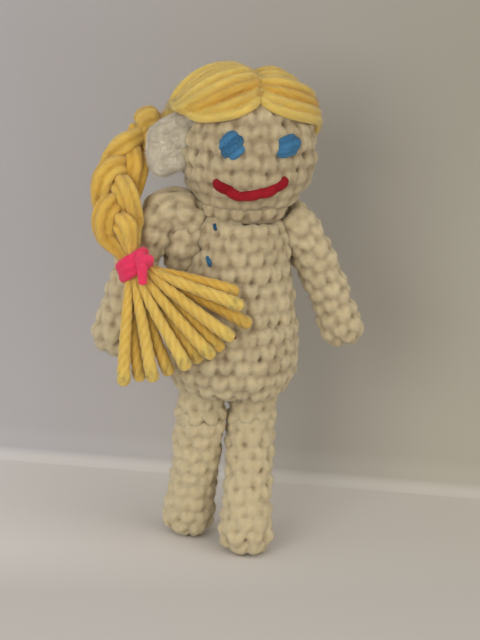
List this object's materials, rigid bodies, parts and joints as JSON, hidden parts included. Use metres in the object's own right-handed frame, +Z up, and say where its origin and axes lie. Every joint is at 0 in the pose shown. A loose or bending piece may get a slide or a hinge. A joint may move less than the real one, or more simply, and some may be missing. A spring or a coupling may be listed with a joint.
{
  "type": "amigurumi doll",
  "caption": "Small crocheted and stuffed doll with a stitched face, a felt ear and golden yarn hair in a tied side plait; head, arms, legs and plait move.",
  "frame": {"origin": "on the ground under the middle of the doll's box", "axes": "+Z up from the soles to the crown, -Y the way the doll faces, +X the doll's left"},
  "size_m": [0.0764, 0.0444, 0.1357],
  "materials": {
    "cream_yarn": "matte",
    "gold_yarn": "matte",
    "pink_yarn": "matte",
    "blue_yarn": "matte",
    "red_yarn": "matte",
    "white_felt": "matte",
    "stuffing": "matte"
  },
  "bodies": {
    "torso": {"body_cover": "cream_yarn", "body_stuffing": "stuffing"},
    "neck": {"neck_seam": "cream_yarn"},
    "head": {"head_cover": "cream_yarn", "head_stuffing": "stuffing", "eye_left": "blue_yarn", "eye_right": "blue_yarn", "mouth": "red_yarn", "ear_right": "white_felt", "hair_left": "gold_yarn", "hair_right": "gold_yarn", "hair_parting_seam": "gold_yarn"},
    "plait_root": {"hair_gather": "gold_yarn"},
    "plait": {"plait_strand_1": "gold_yarn", "plait_strand_2": "gold_yarn", "plait_strand_3": "gold_yarn", "hair_tie": "pink_yarn", "hair_tie_knot": "pink_yarn"},
    "fringe": {"fringe_01": "gold_yarn", "fringe_02": "gold_yarn", "fringe_03": "gold_yarn", "fringe_04": "gold_yarn", "fringe_05": "gold_yarn", "fringe_06": "gold_yarn", "fringe_07": "gold_yarn", "fringe_08": "gold_yarn", "fringe_09": "gold_yarn", "fringe_10": "gold_yarn", "fringe_11": "gold_yarn", "fringe_12": "gold_yarn"},
    "shoulder_left": {"arm_left_seam": "cream_yarn"},
    "arm_left": {"arm_left_cover": "cream_yarn", "arm_left_stuffing": "stuffing"},
    "shoulder_right": {"arm_right_seam": "cream_yarn"},
    "arm_right": {"arm_right_cover": "cream_yarn", "arm_right_stuffing": "stuffing"},
    "hip_left": {"leg_left_seam": "cream_yarn"},
    "leg_left": {"leg_left_cover": "cream_yarn", "leg_left_stuffing": "stuffing"},
    "hip_right": {"leg_right_seam": "cream_yarn"},
    "leg_right": {"leg_right_cover": "cream_yarn", "leg_right_stuffing": "stuffing"}
  },
  "joints": [
    {"name": "head_turn", "type": "hinge", "parent": "torso", "child": "neck", "pos_m": [0.00366, 0.00124, 0.09513], "axis": [0, 0, 1], "range_deg": [-6, 20]},
    {"name": "head_nod", "type": "hinge", "parent": "neck", "child": "head", "pos_m": [0.00366, 0.00124, 0.09513], "axis": [1, 0, 0], "range_deg": [-6, 8]},
    {"name": "plait_follow", "type": "hinge", "parent": "head", "child": "plait_root", "pos_m": [-0.02285, 0.00726, 0.11724], "axis": [1, 0, 0], "range_deg": [-5, 4]},
    {"name": "plait_swing", "type": "hinge", "parent": "plait_root", "child": "plait", "pos_m": [-0.02285, 0.00726, 0.11724], "axis": [-0.7071, 0.7071, 0], "range_deg": [0, 35]},
    {"name": "fringe_swing", "type": "hinge", "parent": "plait", "child": "fringe", "pos_m": [-0.02634, -0.01134, 0.07993], "axis": [-0.9763, 0.2164, 0], "range_deg": [0, 30]},
    {"name": "arm_left_swing", "type": "hinge", "parent": "torso", "child": "shoulder_left", "pos_m": [0.01867, 0.00124, 0.09118], "axis": [-1, 0, 0], "range_deg": [-60, 75]},
    {"name": "arm_left_lift", "type": "hinge", "parent": "shoulder_left", "child": "arm_left", "pos_m": [0.01867, 0.00124, 0.09118], "axis": [0, -1, 0], "range_deg": [-5, 60]},
    {"name": "arm_right_swing", "type": "hinge", "parent": "torso", "child": "shoulder_right", "pos_m": [-0.01136, 0.00124, 0.09118], "axis": [-1, 0, 0], "range_deg": [-60, 10]},
    {"name": "arm_right_lift", "type": "hinge", "parent": "shoulder_right", "child": "arm_right", "pos_m": [-0.01136, 0.00124, 0.09118], "axis": [0, 1, 0], "range_deg": [-5, 24]},
    {"name": "leg_left_swing", "type": "hinge", "parent": "torso", "child": "hip_left", "pos_m": [0.01086, 0.00124, 0.0355], "axis": [-1, 0, 0], "range_deg": [-40, 65]},
    {"name": "leg_left_spread", "type": "hinge", "parent": "hip_left", "child": "leg_left", "pos_m": [0.01086, 0.00124, 0.0355], "axis": [0, -1, 0], "range_deg": [0, 25]},
    {"name": "leg_right_swing", "type": "hinge", "parent": "torso", "child": "hip_right", "pos_m": [-0.00354, 0.00124, 0.0355], "axis": [-1, 0, 0], "range_deg": [-24, 80]},
    {"name": "leg_right_spread", "type": "hinge", "parent": "hip_right", "child": "leg_right", "pos_m": [-0.00354, 0.00124, 0.0355], "axis": [0, 1, 0], "range_deg": [0, 25]}
  ],
  "couplings": [
    {"joint": "plait_follow", "follows": "head_nod", "ratio": -0.6}
  ]
}
